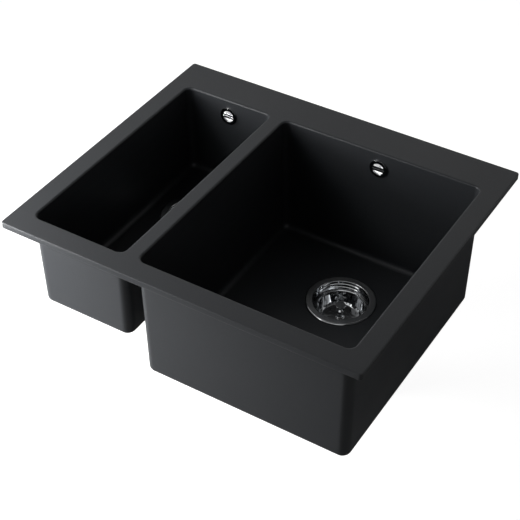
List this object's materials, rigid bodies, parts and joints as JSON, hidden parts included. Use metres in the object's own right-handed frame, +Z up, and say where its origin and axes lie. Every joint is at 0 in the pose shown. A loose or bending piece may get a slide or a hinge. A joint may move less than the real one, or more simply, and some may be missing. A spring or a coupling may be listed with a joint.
{
  "type": "double bowl kitchen sink",
  "caption": "Drop-in composite kitchen sink with a half bowl and a main bowl, lift-out basket strainers, overflows, joined waste pipes and turning rim clips.",
  "frame": {"origin": "middle of the plane of the rim's underside, which lies on the worktop", "axes": "+X to the user's right, -Y the front edge where the user stands, +Z up"},
  "size_m": [0.6, 0.508, 0.4321],
  "materials": {
    "composite": "matt black granite composite",
    "polished_steel": "polished stainless steel",
    "zinc_steel": "zinc-plated steel",
    "brass": "turned brass",
    "rubber": "black rubber",
    "white_plastic": "moulded white plastic",
    "overflow_white": "glossy white plastic",
    "grey_hose": "soft grey plastic"
  },
  "bodies": {
    "sink": {"sink_body": "composite", "rim_seal": "rubber", "main_flange_seal": "rubber", "main_strainer_cup": "polished_steel", "main_body_gasket": "rubber", "main_waste_body": "white_plastic", "main_centre_screw": "polished_steel", "main_brass_nut": "brass", "half_flange_seal": "rubber", "half_strainer_cup": "polished_steel", "half_body_gasket": "rubber", "half_waste_body": "white_plastic", "half_centre_screw": "polished_steel", "half_brass_nut": "brass", "main_overflow_ring": "polished_steel", "main_overflow_stud": "zinc_steel", "main_overflow_gasket": "rubber", "main_overflow_body": "overflow_white", "half_overflow_ring": "polished_steel", "half_overflow_stud": "zinc_steel", "half_overflow_gasket": "rubber", "half_overflow_body": "overflow_white", "main_overflow_hose": "grey_hose", "half_overflow_hose": "grey_hose", "hose_bands": "zinc_steel", "drop_washers": "rubber", "drop_nuts": "white_plastic", "half_drop_bend": "white_plastic", "cross_pipe": "white_plastic", "cross_washers": "rubber", "cross_nuts": "white_plastic", "outlet_tee": "white_plastic", "clip_inserts": "brass", "clip_screws": "zinc_steel"},
    "main_basket_unit": {"main_basket": "polished_steel", "main_stopper": "rubber", "main_stopper_nut": "brass", "main_knob": "polished_steel"},
    "half_basket_unit": {"half_basket": "polished_steel", "half_stopper": "rubber", "half_stopper_nut": "brass", "half_knob": "polished_steel"},
    "front_left_clip_arm": {"front_left_clip": "zinc_steel"},
    "front_right_clip_arm": {"front_right_clip": "zinc_steel"},
    "back_left_clip_arm": {"back_left_clip": "zinc_steel"},
    "back_right_clip_arm": {"back_right_clip": "zinc_steel"},
    "left_clip_arm": {"left_clip": "zinc_steel"},
    "right_clip_arm": {"right_clip": "zinc_steel"}
  },
  "joints": [
    {"name": "main_basket_lift", "type": "slide", "parent": "sink", "child": "main_basket_unit", "axis": [0, 0, 1], "range_m": [-0.006, 0.27]},
    {"name": "half_basket_lift", "type": "slide", "parent": "sink", "child": "half_basket_unit", "axis": [0, 0, 1], "range_m": [-0.006, 0.22]},
    {"name": "front_left_clip_turn", "type": "hinge", "parent": "sink", "child": "front_left_clip_arm", "pos_m": [-0.186, -0.2262, -0.0203], "axis": [0, 0, 1], "range_deg": [0, 90]},
    {"name": "front_right_clip_turn", "type": "hinge", "parent": "sink", "child": "front_right_clip_arm", "pos_m": [0.094, -0.2262, -0.0203], "axis": [0, 0, 1], "range_deg": [0, 90]},
    {"name": "back_left_clip_turn", "type": "hinge", "parent": "sink", "child": "back_left_clip_arm", "pos_m": [-0.241, 0.2292, -0.0203], "axis": [0, 0, 1], "range_deg": [0, 90]},
    {"name": "back_right_clip_turn", "type": "hinge", "parent": "sink", "child": "back_right_clip_arm", "pos_m": [0.204, 0.2292, -0.0203], "axis": [0, 0, 1], "range_deg": [0, 90]},
    {"name": "left_clip_turn", "type": "hinge", "parent": "sink", "child": "left_clip_arm", "pos_m": [-0.2752, -0.0155, -0.0203], "axis": [0, 0, 1], "range_deg": [0, 90]},
    {"name": "right_clip_turn", "type": "hinge", "parent": "sink", "child": "right_clip_arm", "pos_m": [0.2752, -0.0155, -0.0203], "axis": [0, 0, 1], "range_deg": [0, 90]}
  ]
}
